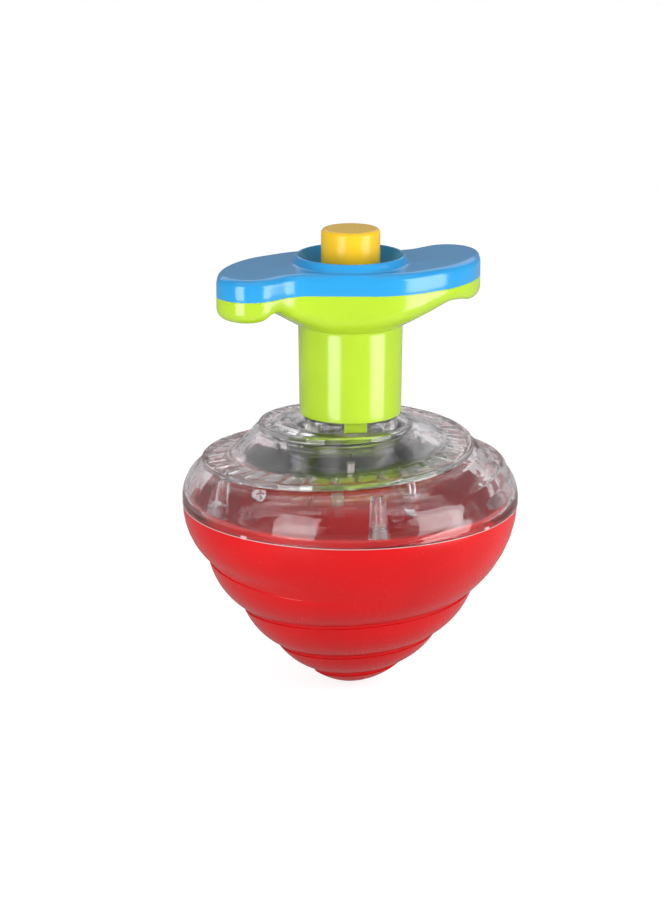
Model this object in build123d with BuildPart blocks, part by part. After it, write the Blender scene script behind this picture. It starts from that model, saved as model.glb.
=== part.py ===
"""Spinning top docked in its twist-and-release hand launcher, +Z up, origin at the spin tip."""
from build123d import *
from math import atan2, cos, degrees, exp, hypot, log, radians, sin, tan
import os

os.makedirs("parts", exist_ok=True)

# ---------------------------------------------------------------- driving dimensions, millimetres
top_radius = 35.0            # widest radius of the top, just above its seam
seam_radius = 34.9
seam_height = 40.0           # parting line between the clear dome and the cone
nose_radius = 3.0            # rounded spin tip
barrel_base = 59.0           # lower edge of the launcher's barrel
barrel_radius_low = 10.5
barrel_radius_high = 10.75
barrel_bore = 9.3
flare_base = 77.9            # where the barrel meets the handle's underside
split_height = 86.3          # parting line between the handle's two shells
cover_top = 90.6
cup_rim = 92.3
cup_radius = 11.2
button_top = 97.6
button_radius = 6.05
button_travel = 3.0
claw_count = 3
claw_width = 4.7
claw_angle = -83.0           # degrees, direction of the front claw
post_count = 5
post_angle = -79.6           # degrees, direction of the post nearest the front
post_circle = 30.6
post_radius = 2.3
running_gap = 0.3            # between bodies that move past each other
shaft_gap = 0.05             # radial clearance of a shaft in its bearing
board_radius = 21.4
board_bottom = 48.7
board_top = 49.9
screw_spot = (20.6, 10.2)    # one handle screw; the other is its half-turn twin

sections_per_half_turn = 6
overlap = 0.7                # how far neighbouring spiral bands run into each other
band_depth = 3.2             # radial depth of a spiral band


def finish(part, name, colour):
    """Label a finished piece, give it a colour and write its STEP file."""
    part.label = name
    part.color = Color(*colour)
    export_step(part, f"parts/{name}.step")


def upright(angle_degrees):
    """Upright plane through the axis whose local X points at this compass angle."""
    angle = radians(angle_degrees)
    return Plane(
        origin=(0, 0, 0),
        x_dir=(cos(angle), sin(angle), 0),
        z_dir=(sin(angle), -cos(angle), 0),
    )


def bulged_mid(start, end, turn_angle):
    """Middle point of an arc from start to end that leaves its chord by turn_angle degrees."""
    length = hypot(end[0] - start[0], end[1] - start[1])
    rise = length / 2 * tan(radians(turn_angle) / 2)
    along = ((end[0] - start[0]) / length, (end[1] - start[1]) / length)
    outward = (-along[1], along[0]) if along[1] < 0 else (along[1], -along[0])
    middle = ((start[0] + end[0]) / 2, (start[1] + end[1]) / 2)
    return (middle[0] + rise * outward[0], middle[1] + rise * outward[1])


def direction(start, end, turn_angle):
    """Unit vector of the chord from start to end, turned by turn_angle degrees."""
    angle = atan2(end[1] - start[1], end[0] - start[0]) + radians(turn_angle)
    return (cos(angle), sin(angle))


# ---------------------------------------------------------------- cone shell (red, spiral)
cone_start = -0.3            # turn at which the crease rises out of the seam band
cone_bulge = 24.0            # degrees by which an arc leaves its chord
cone_levels = 4
nose_point = (1.9, 0.68)
peg_radius = 1.4
peg_tip = 36.0
socket_floor = 35.6


def cone_crease(turn):
    """Radius and height of the cone's crease, in turns clockwise from the -X side."""
    radius = 30.3 - 7.45 * turn
    height = 29.1 - 12.35 * turn + 1.30 * turn**2
    if turn < 0:
        radius += 1.1 * (turn / cone_start) ** 2
    return (radius, height)


def cone_band(level, turn):
    """Corner points of one band of the cone's spiral in its meridian plane."""
    start = (seam_radius, seam_height) if level == 0 else cone_crease(turn + level - 1)
    end = cone_crease(turn + level)
    bulge = cone_bulge
    if level == 1 and turn < 0:
        bulge = cone_bulge + (12.0 - cone_bulge) * turn / cone_start
    first = direction(start, end, bulge)
    last = direction(start, end, -bulge)
    above = (start[0] - overlap * first[0] - 0.1, start[1] - overlap * first[1])
    if level == 0:
        above = (start[0] - 0.5, start[1])
    below = (end[0] + overlap * last[0], end[1] + overlap * last[1])
    depth = band_depth if level < 3 else 1.3
    inner_low = (end[0] - depth, end[1] + depth / 2)
    inner_high = (start[0] - depth, start[1] + (0.0 if level == 0 else 0.3))
    return start, bulged_mid(start, end, bulge), end, below, inner_low, inner_high, above


with BuildPart() as cone_shell:
    with BuildSketch(Plane.XZ):
        with BuildLine():
            RadiusArc((0, 0), nose_point, -nose_radius)
            Polyline(nose_point, (9.2, 5.3), (14.0, 10.0), (21.4, 18.6), (28.8, 29.4), (32.4, 36.2),
                     (33.4, seam_height), (0, seam_height), (0, 0))
        make_face()
    revolve(axis=Axis.Z)
    for level in range(cone_levels):
        for half in range(2):
            for step in range(sections_per_half_turn + 1):
                turn = cone_start + half / 2 + step / sections_per_half_turn / 2
                start, middle, end, *corners = cone_band(level, turn)
                with BuildSketch(upright(180.0 - 360.0 * turn)):
                    with BuildLine():
                        ThreePointArc(start, middle, end)
                        Polyline(end, *corners, start)
                    make_face()
            loft()
    # hollow inside, left open at the seam
    with BuildSketch(Plane.XZ):
        with BuildLine():
            Polyline((0, 4.2), (5.0, 5.4), (12.4, 10.6), (19.8, 19.2), (27.2, 30.0), (31.0, 36.2),
                     (32.3, seam_height), (0, seam_height), (0, 4.2))
        make_face()
    revolve(axis=Axis.Z, mode=Mode.SUBTRACT)
    # locating lip inside the dome, and sockets for the dome's pegs
    with BuildSketch(Plane.XY.offset(seam_height - 0.8)):
        Circle(32.8)
        Circle(32.0, mode=Mode.SUBTRACT)
    extrude(amount=2.0)
    with PolarLocations(post_circle, post_count, start_angle=post_angle):
        with Locations((0, 0, 31.5)):
            Cylinder(2.2, seam_height - 31.5, align=(Align.CENTER, Align.CENTER, Align.MIN))
        with Locations((0, 0, seam_height)):
            Cylinder(post_radius + running_gap, 3.0, align=(Align.CENTER, Align.CENTER, Align.MIN),
                     mode=Mode.SUBTRACT)
        with Locations((0, 0, socket_floor)):
            Cylinder(peg_radius + shaft_gap, seam_height - socket_floor + 1.0,
                     align=(Align.CENTER, Align.CENTER, Align.MIN), mode=Mode.SUBTRACT)
finish(cone_shell.part, "cone_shell", (0.86, 0.05, 0.05))

# ---------------------------------------------------------------- clear dome (spiral, ribbed windows)
dome_start = -0.05           # turn at which the dome's crease rises out of the outer wall
dome_widest = 41.2           # height of the widest circle
collar_radius = 11.8         # inner edge of the uppermost ramp
recess_floor = 56.2          # floor round the slotted collar
collar_top = 58.5
collar_outer = 9.7
collar_inner = 7.3
slot_width = 5.3
lip_height = 1.3             # upright step at a crease
lip_blend = 0.3              # turns over which the step fades in
ramp_share = 0.48            # share of a band's width that is the near-level ramp
ramp_rise = 0.4


def dome_height(radius):
    """Height of the crease line where it has this radius."""
    return 57.6 - 10.6 * (radius / 32.3) ** 3


def dome_crease(turn):
    """Radius and height of the dome's crease, in turns anticlockwise from the +X side."""
    softness = 0.12
    radius = 32.3 - 12.7 * softness * log(1 + exp((turn - 0.46) / softness))
    radius = max(radius, collar_radius + 0.8)
    return (radius, dome_height(radius))


def mix(first, second, share):
    """Point part of the way from first to second."""
    return (first[0] + share * (second[0] - first[0]), first[1] + share * (second[1] - first[1]))


def dome_step(level, turn):
    """Corner points of one stepped band: lip, ramp and tier wall, from crease to crease."""
    start = dome_crease(turn + level - 1)
    if level == 1:
        end = dome_crease(turn + 1)
    else:
        end = (collar_radius, dome_height(collar_radius) + lip_height * (turn - dome_start))
    fade = min(1.0, (turn - dome_start) / lip_blend) if level == 1 else 1.0
    width = start[0] - end[0]
    lip = (start[0] - 0.1, start[1] + lip_height - 0.3)
    edge = (start[0] - 0.4, start[1] + lip_height)
    ramp = (start[0] - max(ramp_share * width, 0.5), start[1] + lip_height + ramp_rise)
    smooth_ramp = bulged_mid(start, end, 24.0)
    smooth_edge = bulged_mid(start, smooth_ramp, 12.0)
    smooth_lip = bulged_mid(start, smooth_edge, 6.0)
    lip = mix(smooth_lip, lip, fade)
    edge = mix(smooth_edge, edge, fade)
    ramp = mix(smooth_ramp, ramp, fade)
    under_start = (start[0] - 0.15, start[1] - overlap)
    inner_start = (start[0] - 3.0, start[1] - 1.8)
    inner_end = (end[0] - 1.5, end[1] - 2.4)
    past_end = (end[0] - 0.6, end[1] + (0.3 if level == 1 else 0.0))
    return start, lip, edge, ramp, end, past_end, inner_end, inner_start, under_start


with BuildPart() as clear_dome:
    # body under the spiral
    with BuildSketch(Plane.XZ):
        with BuildLine():
            Polyline((0, seam_height), (33.6, seam_height), (33.6, 43.0), (31.6, 46.2), (29.2, 47.4),
                     (24.6, 49.0), (20.6, 51.6), (16.4, 54.4), (collar_radius, recess_floor), (0, recess_floor),
                     (0, seam_height))
        make_face()
    revolve(axis=Axis.Z)
    # smooth outer wall, from the seam up to the crease
    for half in range(2):
        for step in range(sections_per_half_turn + 1):
            turn = dome_start + half / 2 + step / sections_per_half_turn / 2
            crease = dome_crease(turn)
            foot = (top_radius, dome_widest)
            lean = degrees(atan2(foot[0] - crease[0], crease[1] - foot[1]))
            past = direction(foot, crease, lean)
            with BuildSketch(upright(360.0 * turn)):
                with BuildLine():
                    Line((seam_radius, seam_height), foot)
                    ThreePointArc(foot, bulged_mid(foot, crease, lean), crease)
                    Polyline(crease, (crease[0] + overlap * past[0], crease[1] + overlap * past[1]),
                             (crease[0] - 2.6, crease[1] - 1.4), (32.4, 42.5), (32.4, seam_height),
                             (seam_radius, seam_height))
                make_face()
        loft()
    # two stepped bands above it
    for level in (1, 2):
        for half in range(2):
            for step in range(sections_per_half_turn + 1):
                turn = dome_start + half / 2 + step / sections_per_half_turn / 2
                corners = dome_step(level, turn)
                with BuildSketch(upright(360.0 * turn)):
                    with BuildLine():
                        Polyline(*corners, corners[0])
                    make_face()
            loft()
    # hollow inside
    with BuildSketch(Plane.XZ):
        with BuildLine():
            Polyline((0, seam_height), (33.1, seam_height), (32.7, 43.0), (31.2, 45.2), (28.8, 46.6),
                     (25.0, 47.6), (21.4, 50.4), (17.0, 53.1), (14.6, 54.4), (13.4, 54.4),
                     (13.4, 54.9), (0, 54.9), (0, seam_height))
        make_face()
    revolve(axis=Axis.Z, mode=Mode.SUBTRACT)
    # recess round the collar, slotted collar and middle hole
    with Locations((0, 0, recess_floor)):
        Cylinder(collar_radius - 0.6, 5.0, align=(Align.CENTER, Align.CENTER, Align.MIN), mode=Mode.SUBTRACT)
    with BuildSketch(Plane.XY.offset(recess_floor)):
        Circle(collar_outer)
        Circle(collar_inner, mode=Mode.SUBTRACT)
        with PolarLocations((collar_outer + collar_inner) / 2, claw_count, start_angle=claw_angle):
            Rectangle(4.0, slot_width, mode=Mode.SUBTRACT)
    extrude(amount=collar_top - recess_floor)
    Cylinder(4.0, 70.0, align=(Align.CENTER, Align.CENTER, Align.MIN), mode=Mode.SUBTRACT)
    # posts with pegs
    with PolarLocations(post_circle, post_count, start_angle=post_angle):
        with Locations((0, 0, seam_height + 0.1)):
            Cylinder(post_radius, 6.2, align=(Align.CENTER, Align.CENTER, Align.MIN))
        with Locations((0, 0, peg_tip)):
            Cylinder(peg_radius, 6.0, align=(Align.CENTER, Align.CENTER, Align.MIN))
    # three short posts that carry the board
    with PolarLocations(17.5, 3, start_angle=30):
        with Locations((0, 0, board_top)):
            Cylinder(1.8, 3.6, align=(Align.CENTER, Align.CENTER, Align.MIN))
        with Locations((0, 0, board_top)):
            Cylinder(0.8, 3.0, align=(Align.CENTER, Align.CENTER, Align.MIN), mode=Mode.SUBTRACT)
finish(clear_dome.part, "clear_dome", (0.85, 0.8, 0.82, 0.35))

# ---------------------------------------------------------------- handle outline, shared by its shells
# corners of one lobe with the radius of each, from the front of the hub clockwise to the back;
# the other lobe is its half-turn twin
lobe_corners = [(-11.0, -12.9), (-18.6, -20.0), (-27.0, -17.6), (-27.0, 0.8), (-10.5, 13.4)]
lobe_radii = [7.0, 6.0, 6.6, 20.0, 16.0]
hub_cavity = 11.8
cavity_floor = 79.6
shell_wall = 1.6
lobe_cavity_floor = 84.6
lobe_base = 81.7
arch_height = 83.1
dish_floor = 88.0
dish_top = 89.0
lower_rounding = 1.0

with BuildSketch() as handle_outline:
    with BuildLine():
        FilletPolyline(*lobe_corners, *[(-x, -y) for x, y in lobe_corners], radius=lobe_radii * 2, close=True)
    make_face()

with BuildSketch() as handle_inside:
    add(handle_outline.sketch)
    offset(amount=-shell_wall)

# ---------------------------------------------------------------- handle body with barrel (lime)
with BuildPart() as handle_body:
    with BuildSketch(Plane.XY.offset(flare_base)):
        add(handle_outline.sketch)
    extrude(amount=split_height - flare_base)
    with BuildSketch(Plane.XZ):
        with BuildLine():
            Line((barrel_radius_high, flare_base - 1), (barrel_radius_high, flare_base))
            Spline((barrel_radius_high, flare_base), (14.0, 79.7), (20.3, arch_height), (24.6, lobe_base + 0.2),
                   (27.4, lobe_base))
            Polyline((27.4, lobe_base), (40.0, lobe_base), (40.0, flare_base - 1),
                     (barrel_radius_high, flare_base - 1))
        make_face()
    revolve(axis=Axis.Z, mode=Mode.SUBTRACT)
    # rounded lower edges
    lower_edges = [edge for edge in handle_body.edges()
                   if edge.center().Z < arch_height + 0.4 and abs((edge % 0.5).Z) < 0.9
                   and hypot(edge.center().X, edge.center().Y) > barrel_radius_high + 1]
    fillet(lower_edges, radius=lower_rounding)
    # barrel with a slight draft
    with BuildSketch(Plane.XZ):
        with BuildLine():
            Polyline((0, barrel_base), (barrel_radius_low, barrel_base), (barrel_radius_high, flare_base),
                     (barrel_radius_high, flare_base + 2), (0, flare_base + 2), (0, barrel_base))
        make_face()
    revolve(axis=Axis.Z)
    # hollow lobes, hub cavity, barrel bore and the rotor's upper bearing
    with BuildSketch(Plane.XY.offset(lobe_cavity_floor)):
        add(handle_inside.sketch)
    extrude(amount=split_height - lobe_cavity_floor, mode=Mode.SUBTRACT)
    with Locations((0, 0, cavity_floor)):
        Cylinder(hub_cavity, split_height - cavity_floor, align=(Align.CENTER, Align.CENTER, Align.MIN),
                 mode=Mode.SUBTRACT)
    with Locations((0, 0, barrel_base)):
        Cylinder(barrel_bore, 77.0 - barrel_base, align=(Align.CENTER, Align.CENTER, Align.MIN),
                 mode=Mode.SUBTRACT)
        Cylinder(4.0 + shaft_gap, 25.0, align=(Align.CENTER, Align.CENTER, Align.MIN), mode=Mode.SUBTRACT)
    # screw pillars with their clearance holes and head recesses
    for spot in (screw_spot, (-screw_spot[0], -screw_spot[1])):
        with Locations((*spot, lobe_cavity_floor - 1.0)):
            Cylinder(2.6, split_height - lobe_cavity_floor + 1.0,
                     align=(Align.CENTER, Align.CENTER, Align.MIN))
        with Locations((*spot, lobe_base - 1.0)):
            Cylinder(2.2, 2.6, align=(Align.CENTER, Align.CENTER, Align.MIN), mode=Mode.SUBTRACT)
            Cylinder(1.2, 8.0, align=(Align.CENTER, Align.CENTER, Align.MIN), mode=Mode.SUBTRACT)
finish(handle_body.part, "handle_body", (0.72, 0.93, 0.12))

# ---------------------------------------------------------------- handle cover with cup (blue)
with BuildPart() as handle_cover:
    with BuildSketch(Plane.XY.offset(split_height)):
        add(handle_outline.sketch)
    extrude(amount=cover_top - split_height)
    fillet(handle_cover.edges().group_by(Axis.Z)[-1], radius=1.5)
    with BuildSketch(Plane.XZ):
        with BuildLine():
            Polyline((0, split_height + 1), (13.0, split_height + 1), (12.4, cover_top - 0.6),
                     (cup_radius, cup_rim - 0.2), (cup_radius - 0.2, cup_rim), (0, cup_rim), (0, split_height + 1))
        make_face()
    revolve(axis=Axis.Z)
    with BuildSketch(Plane.XY.offset(split_height)):
        add(handle_inside.sketch)
    extrude(amount=dish_floor - split_height, mode=Mode.SUBTRACT)
    # dish and button hole
    with BuildSketch(Plane.XZ):
        with BuildLine():
            Line((0, dish_top), (8.6, dish_top))
            Line((8.6, dish_top), (cup_radius - 0.5, cup_rim))
            Polyline((cup_radius - 0.5, cup_rim), (cup_radius - 0.5, cup_rim + 1), (0, cup_rim + 1), (0, dish_top))
        make_face()
    revolve(axis=Axis.Z, mode=Mode.SUBTRACT)
    with Locations((0, 0, split_height)):
        Cylinder(button_radius + running_gap, 5.0, align=(Align.CENTER, Align.CENTER, Align.MIN),
                 mode=Mode.SUBTRACT)
    for spot in (screw_spot, (-screw_spot[0], -screw_spot[1])):
        with Locations((*spot, split_height)):
            Cylinder(2.4, dish_floor - split_height + 0.5, align=(Align.CENTER, Align.CENTER, Align.MIN))
            Cylinder(1.0, 3.0, align=(Align.CENTER, Align.CENTER, Align.MIN), mode=Mode.SUBTRACT)
finish(handle_cover.part, "handle_cover", (0.13, 0.6, 0.92))

# ---------------------------------------------------------------- handle screws
with BuildPart() as handle_screws:
    for spot in (screw_spot, (-screw_spot[0], -screw_spot[1])):
        with Locations((*spot, lobe_base + 1.6 - 1.0)):
            Cylinder(1.0, 1.0 + 5.4, align=(Align.CENTER, Align.CENTER, Align.MIN))
            Cylinder(2.0, 1.0, align=(Align.CENTER, Align.CENTER, Align.MIN))
        with Locations((*spot, lobe_base + 0.5)):
            Box(2.8, 0.5, 0.6, align=(Align.CENTER, Align.CENTER, Align.MIN), mode=Mode.SUBTRACT)
            Box(0.5, 2.8, 0.6, align=(Align.CENTER, Align.CENTER, Align.MIN), mode=Mode.SUBTRACT)
finish(handle_screws.part, "handle_screws", (0.7, 0.7, 0.72))

# ---------------------------------------------------------------- push button, rod and spring
button_flange = 7.6
flange_top = 87.7
flange_base = 86.6
button_hollow = 5.1
button_ceiling = 89.6
rod_tip = 58.9
bridge_base = 82.3
bridge_top = 83.2

with BuildPart() as push_button:
    with Locations((0, 0, flange_base)):
        Cylinder(button_radius, button_top - flange_base, align=(Align.CENTER, Align.CENTER, Align.MIN))
        Cylinder(button_flange, flange_top - flange_base, align=(Align.CENTER, Align.CENTER, Align.MIN))
    fillet(push_button.edges().filter_by(GeomType.CIRCLE).group_by(Axis.Z)[-1], radius=0.9)
    with Locations((0, 0, flange_base)):
        Cylinder(button_hollow, button_ceiling - flange_base, align=(Align.CENTER, Align.CENTER, Align.MIN),
                 mode=Mode.SUBTRACT)
finish(push_button.part, "push_button", (0.98, 0.82, 0.1))

with BuildPart() as push_rod:
    with Locations((0, 0, rod_tip)):
        Cylinder(1.5, button_ceiling - rod_tip, align=(Align.CENTER, Align.CENTER, Align.MIN))
    with Locations((0, 0, button_ceiling - 0.8)):
        Cylinder(3.0, 0.8, align=(Align.CENTER, Align.CENTER, Align.MIN))
    chamfer(push_rod.edges().group_by(Axis.Z)[0], length=0.4)
finish(push_rod.part, "push_rod", (0.75, 0.75, 0.78))


def coil(radius, wire, pitch, base, top):
    """Centre line of a coil spring along Z whose wire stays between two heights."""
    return Helix(pitch=pitch, height=top - base - 2 * wire, radius=radius, center=(0, 0, base + wire))


with BuildPart() as button_spring:
    with BuildLine() as button_coil:
        add(coil(4.3, 0.35, 1.5, bridge_top, button_ceiling))
    with BuildSketch(Plane(origin=button_coil.line @ 0, z_dir=button_coil.line % 0)):
        Circle(0.35)
    sweep(is_frenet=True)
finish(button_spring.part, "button_spring", (0.75, 0.75, 0.78))

with BuildPart() as bridge_plate:
    with Locations((0, 0, bridge_base)):
        Cylinder(hub_cavity - 0.2, bridge_top - bridge_base, align=(Align.CENTER, Align.CENTER, Align.MIN))
        Cylinder(1.8, 2.0, align=(Align.CENTER, Align.CENTER, Align.MIN), mode=Mode.SUBTRACT)
    with PolarLocations(10.5, 3, start_angle=120):
        with Locations((0, 0, cavity_floor)):
            Cylinder(1.0, bridge_base - cavity_floor, align=(Align.CENTER, Align.CENTER, Align.MIN))
finish(bridge_plate.part, "bridge_plate", (0.85, 0.85, 0.83))

# ---------------------------------------------------------------- rotor, bush, clip and winding spring
rotor_shaft = 4.0
rotor_bore = 1.9
rotor_flange = 9.0
rotor_flange_base = 59.9
rotor_flange_top = 62.2
rotor_top = 82.0
claw_tip = 56.5
claw_middle = 8.3
bush_base = 64.0
bush_top = 66.5
ratchet_base = 79.9
ratchet_top = 81.4

with BuildPart() as drive_rotor:
    with Locations((0, 0, rotor_flange_base)):
        Cylinder(rotor_flange, rotor_flange_top - rotor_flange_base,
                 align=(Align.CENTER, Align.CENTER, Align.MIN))
        Cylinder(rotor_shaft, rotor_top - rotor_flange_base, align=(Align.CENTER, Align.CENTER, Align.MIN))
    with Locations((0, 0, ratchet_top + 0.05)):
        Cylinder(rotor_shaft, 0.35, align=(Align.CENTER, Align.CENTER, Align.MIN), mode=Mode.SUBTRACT)
        Cylinder(rotor_shaft - 0.5, 0.35, align=(Align.CENTER, Align.CENTER, Align.MIN))
    with BuildSketch(Plane.XY.offset(claw_tip)):
        with PolarLocations(claw_middle, claw_count, start_angle=claw_angle):
            RectangleRounded(1.3, claw_width, 0.3)
    extrude(amount=rotor_flange_base - claw_tip)
    with Locations((0, 0, claw_tip)):
        Cylinder(rotor_bore, rotor_top - claw_tip, align=(Align.CENTER, Align.CENTER, Align.MIN),
                 mode=Mode.SUBTRACT)
finish(drive_rotor.part, "drive_rotor", (0.72, 0.93, 0.12))

with BuildPart() as rotor_bush:
    with Locations((0, 0, bush_base)):
        Cylinder(barrel_bore - 0.02, bush_top - bush_base, align=(Align.CENTER, Align.CENTER, Align.MIN))
        Cylinder(rotor_shaft + shaft_gap, bush_top - bush_base, align=(Align.CENTER, Align.CENTER, Align.MIN),
                 mode=Mode.SUBTRACT)
finish(rotor_bush.part, "rotor_bush", (0.9, 0.9, 0.88))

with BuildPart() as rotor_clip:
    with BuildSketch(Plane.XY.offset(ratchet_top + 0.05)):
        Circle(5.2)
        Circle(rotor_shaft - 0.5, mode=Mode.SUBTRACT)
        with Locations((0, 4.5)):
            Rectangle(3.0, 4.0, mode=Mode.SUBTRACT)
    extrude(amount=0.35)
finish(rotor_clip.part, "rotor_clip", (0.7, 0.7, 0.72))

with BuildPart() as wind_spring:
    with BuildLine() as wind_coil:
        add(coil(6.4, 0.45, 1.35, bush_top + 0.3, 76.7))
    with BuildSketch(Plane(origin=wind_coil.line @ 0, z_dir=wind_coil.line % 0)):
        Circle(0.45)
    sweep(is_frenet=True)
finish(wind_spring.part, "wind_spring", (0.75, 0.75, 0.78))

# ---------------------------------------------------------------- ratchet wheel, pawl and pin
tooth_count = 12
tooth_tip = 7.6
tooth_root = 6.7
pawl_angle = -30.0           # direction of the pawl's tip
pawl_pivot = (8.6, -5.4)     # measured with the pawl's tip on local +X

ratchet_outline = []
for tooth in range(tooth_count):
    tip_angle = radians(pawl_angle + 4.0 + 360.0 * tooth / tooth_count)
    root_angle = tip_angle + radians(360.0 / tooth_count - 1.0)
    ratchet_outline.append((tooth_tip * cos(tip_angle), tooth_tip * sin(tip_angle)))
    ratchet_outline.append((tooth_root * cos(root_angle), tooth_root * sin(root_angle)))

with BuildPart() as ratchet_wheel:
    with BuildSketch(Plane.XY.offset(ratchet_base)):
        with BuildLine():
            Polyline(*ratchet_outline, close=True)
        make_face()
        Circle(rotor_shaft, mode=Mode.SUBTRACT)
    extrude(amount=ratchet_top - ratchet_base)
finish(ratchet_wheel.part, "ratchet_wheel", (0.9, 0.9, 0.88))

with BuildPart() as ratchet_pawl:
    with BuildSketch(Plane.XY.offset(ratchet_base + 0.1).rotated((0, 0, pawl_angle))):
        with BuildLine():
            Polyline((7.1, 0.2), (8.4, 0.9), (9.8, -5.0), (7.6, -5.8), (8.0, -1.2), close=True)
        make_face()
        with Locations(pawl_pivot):
            Circle(1.25)
            Circle(0.6 + shaft_gap, mode=Mode.SUBTRACT)
    extrude(amount=1.3)
finish(ratchet_pawl.part, "ratchet_pawl", (0.95, 0.55, 0.1))

with BuildPart() as pawl_pin:
    with BuildSketch(Plane.XY.offset(cavity_floor).rotated((0, 0, pawl_angle))):
        with Locations(pawl_pivot):
            Circle(0.6)
    extrude(amount=bridge_base - cavity_floor)
finish(pawl_pin.part, "pawl_pin", (0.7, 0.7, 0.72))

# ---------------------------------------------------------------- inside the top
housing_radius = 13.1
with BuildPart() as centre_housing:
    with Locations((0, 0, board_top)):
        Cylinder(housing_radius, 54.8 - board_top, align=(Align.CENTER, Align.CENTER, Align.MIN))
        Cylinder(housing_radius - 1.4, 53.6 - board_top, align=(Align.CENTER, Align.CENTER, Align.MIN),
                 mode=Mode.SUBTRACT)
finish(centre_housing.part, "centre_housing", (0.06, 0.06, 0.06))

with BuildPart() as circuit_board:
    with BuildSketch(Plane.XY.offset(board_bottom)):
        Circle(board_radius)
        with PolarLocations(17.5, 3, start_angle=30):
            Circle(0.9, mode=Mode.SUBTRACT)
    extrude(amount=board_top - board_bottom)
finish(circuit_board.part, "circuit_board", (0.05, 0.07, 0.06))

with BuildPart() as board_screws:
    with PolarLocations(17.5, 3, start_angle=30):
        with Locations((0, 0, board_bottom - 0.9)):
            Cylinder(1.5, 0.9, align=(Align.CENTER, Align.CENTER, Align.MIN))
            Cylinder(0.8, 4.6, align=(Align.CENTER, Align.CENTER, Align.MIN))
finish(board_screws.part, "board_screws", (0.7, 0.7, 0.72))

box_outer = 7.6
cell_radius = 5.8
cell_height = 5.4
box_floor = 26.0
cell_base = 27.8
with BuildPart() as battery_box:
    with Locations((0, 0, box_floor)):
        Cylinder(box_outer, board_bottom - box_floor, align=(Align.CENTER, Align.CENTER, Align.MIN))
    with Locations((0, 0, box_floor + 1.2)):
        Cylinder(cell_radius + 0.2, board_bottom - box_floor - 1.2,
                 align=(Align.CENTER, Align.CENTER, Align.MIN), mode=Mode.SUBTRACT)
    with Locations((-box_outer, 0, cell_base)):
        Box(4.0, 1.4, board_bottom - cell_base, align=(Align.CENTER, Align.CENTER, Align.MIN),
            mode=Mode.SUBTRACT)
finish(battery_box.part, "battery_box", (0.8, 0.06, 0.06))

with BuildPart() as battery_plate:
    with Locations((0, 0, box_floor + 1.2)):
        Cylinder(cell_radius - 0.2, cell_base - box_floor - 1.2, align=(Align.CENTER, Align.CENTER, Align.MIN))
finish(battery_plate.part, "battery_plate", (0.8, 0.7, 0.4))

with BuildPart() as battery_cells:
    for cell in range(3):
        with Locations((0, 0, cell_base + cell * (cell_height + 0.02))):
            Cylinder(cell_radius, cell_height * 0.72, align=(Align.CENTER, Align.CENTER, Align.MIN))
            Cylinder(cell_radius - 0.9, cell_height, align=(Align.CENTER, Align.CENTER, Align.MIN))
finish(battery_cells.part, "battery_cells", (0.78, 0.78, 0.8))

with BuildPart() as battery_spring:
    with BuildLine() as battery_coil:
        add(coil(3.4, 0.3, 1.2, cell_base + 3 * (cell_height + 0.02) + 0.05, board_bottom - 0.05))
    with BuildSketch(Plane(origin=battery_coil.line @ 0, z_dir=battery_coil.line % 0)):
        Circle(0.3)
    sweep(is_frenet=True)
finish(battery_spring.part, "battery_spring", (0.75, 0.75, 0.78))

led_circle = 19.0
led_angle = -50.0
led_radius = 1.5
led_tip = 41.4
led_base = 45.6
with BuildPart() as leds:
    with PolarLocations(led_circle, 3, start_angle=led_angle):
        with Locations((0, 0, led_tip + led_radius)):
            Cylinder(led_radius, led_base - led_tip - led_radius, align=(Align.CENTER, Align.CENTER, Align.MIN))
            Sphere(led_radius)
        with Locations((0, 0, led_base - 0.7)):
            Cylinder(led_radius + 0.35, 0.7, align=(Align.CENTER, Align.CENTER, Align.MIN))
finish(leds.part, "leds", (0.95, 0.95, 0.95, 0.5))

with BuildPart() as led_legs:
    for side in (-0.7, 0.7):
        with PolarLocations(led_circle + side, 3, start_angle=led_angle):
            with Locations((0, 0, led_base)):
                Box(0.4, 0.4, board_bottom - led_base, align=(Align.CENTER, Align.CENTER, Align.MIN))
finish(led_legs.part, "led_legs", (0.75, 0.75, 0.78))

with BuildPart() as control_chip:
    with Locations((-12.5, -5.5, board_bottom - 1.3)):
        Cylinder(3.4, 1.3, align=(Align.CENTER, Align.CENTER, Align.MIN))
finish(control_chip.part, "control_chip", (0.03, 0.03, 0.03))

with BuildPart() as capacitor:
    with Locations((-2.6, -18.4, board_bottom - 4.2)):
        Cylinder(1.2, 4.2, align=(Align.CENTER, Align.CENTER, Align.MIN))
finish(capacitor.part, "capacitor", (0.85, 0.8, 0.75))

switch_height = 45.9
switch_bore = 1.9
with BuildPart() as switch_frame:
    with Locations((0, 14.5, switch_height)):
        Box(5.0, 10.0, 2 * (board_bottom - switch_height))
        Cylinder(switch_bore, 8.8, rotation=(90, 0, 0), mode=Mode.SUBTRACT)
finish(switch_frame.part, "switch_frame", (0.9, 0.88, 0.8))

with BuildPart() as switch_weight:
    with Locations((0, 11.8, switch_height)):
        Cylinder(switch_bore - 0.15, 3.0, rotation=(90, 0, 0))
finish(switch_weight.part, "switch_weight", (0.8, 0.65, 0.3))

with BuildPart() as switch_spring:
    with BuildLine() as switch_coil:
        add(Helix(pitch=0.9, height=4.8, radius=1.1, center=(0, 13.65, switch_height), direction=(0, 1, 0)))
    with BuildSketch(Plane(origin=switch_coil.line @ 0, z_dir=switch_coil.line % 0)):
        Circle(0.2)
    sweep(is_frenet=True)
finish(switch_spring.part, "switch_spring", (0.75, 0.75, 0.78))

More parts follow.
